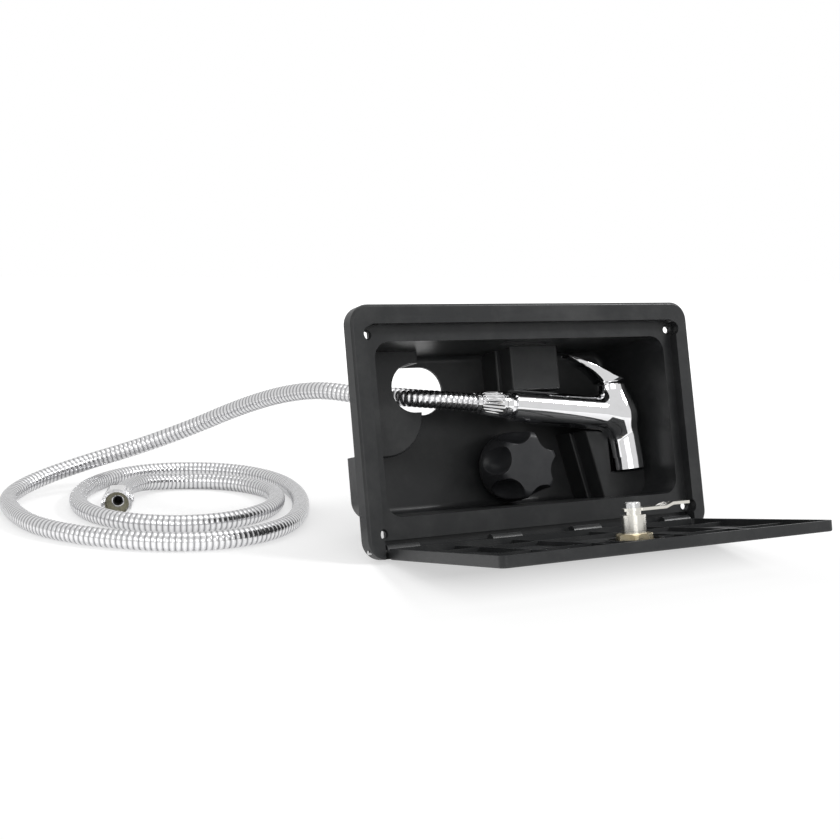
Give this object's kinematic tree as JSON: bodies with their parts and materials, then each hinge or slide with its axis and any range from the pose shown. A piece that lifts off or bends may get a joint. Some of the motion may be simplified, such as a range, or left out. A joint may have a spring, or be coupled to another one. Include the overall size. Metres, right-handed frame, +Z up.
{
  "type": "exterior shower box",
  "caption": "Recessed exterior shower box with a drop-down locking lid, lever handset, mixer knob and ribbed metal hose.",
  "frame": {"origin": "middle of the box, lid and valve's bounding box, on the floor they stand on", "axes": "+X to the box's right seen from its front, +Y from its front to its back, +Z up; the box leans back 14 degrees on its valve's outlet, as pictured"},
  "size_m": [0.4999, 0.5032, 0.1773],
  "materials": {
    "tray_plastic": "black moulded ABS, satin gloss",
    "gasket_foam": "black closed-cell foam",
    "steel": "stainless steel",
    "zinc_plate": "nickel-plated zinc",
    "black_rubber": "soft black rubber",
    "brass": "passivated brass",
    "knob_plastic": "black moulded plastic",
    "valve_plastic": "black glass-filled plastic",
    "chrome_plate": "bright chrome plate",
    "aerator_plastic": "grey moulded plastic",
    "hose_metal": "chromed interlocked strip",
    "nut_metal": "chromed brass",
    "washer_rubber": "dark fibre rubber"
  },
  "bodies": {
    "box": {"housing": "tray_plastic", "wall_gasket": "gasket_foam", "hinge_pin_left": "steel", "hinge_pin_right": "steel", "valve_neck": "brass", "valve_nut": "brass", "valve_washer": "black_rubber", "valve_body": "valve_plastic", "inlet_filter_hot": "steel", "inlet_filter_cold": "steel", "handset_body": "chrome_plate", "handset_cartridge": "chrome_plate", "lever_pin": "steel", "aerator_ring": "chrome_plate", "aerator_insert": "aerator_plastic", "hose_cone": "chrome_plate", "hose_cone_washer": "black_rubber", "hose": "hose_metal", "hose_end_ferrule": "chrome_plate", "hose_end_washer": "washer_rubber"},
    "lid": {"lid": "tray_plastic", "lock_body": "zinc_plate", "lock_gasket": "black_rubber", "lock_washer": "steel", "lock_nut": "brass"},
    "lock": {"lock_plug": "zinc_plate", "lock_cam": "zinc_plate", "cam_screw": "steel"},
    "knob": {"knob": "knob_plastic", "knob_grub_screw": "steel", "valve_spindle": "brass"},
    "lever": {"handset_lever": "chrome_plate"},
    "end_nut": {"hose_end_nut": "nut_metal"}
  },
  "joints": [
    {"name": "lid_hinge", "type": "hinge", "parent": "box", "child": "lid", "pos_m": [0, 0.01308, 0.00751], "axis": [-1, 0, 0], "range_deg": [0, 92.3]},
    {"name": "lock_turn", "type": "hinge", "parent": "lid", "child": "lock", "pos_m": [0, -0.09284, 0.03353], "axis": [0, -0.2028, -0.9792], "range_deg": [0, 90]},
    {"name": "knob_turn", "type": "hinge", "parent": "box", "child": "knob", "pos_m": [0.012, 0.07854, 0.04685], "axis": [0, -0.9703, 0.2419], "range_deg": [0, 270]},
    {"name": "lever_press", "type": "hinge", "parent": "box", "child": "lever", "pos_m": [0.0915, 0.07656, 0.1133], "axis": [0, -0.9703, 0.2419], "range_deg": [0, 12]},
    {"name": "end_nut_spin", "type": "hinge", "parent": "box", "child": "end_nut", "pos_m": [-0.26501, 0.22511, 0.0115], "axis": [-0.3338, -0.9426, 0], "continuous": true}
  ]
}
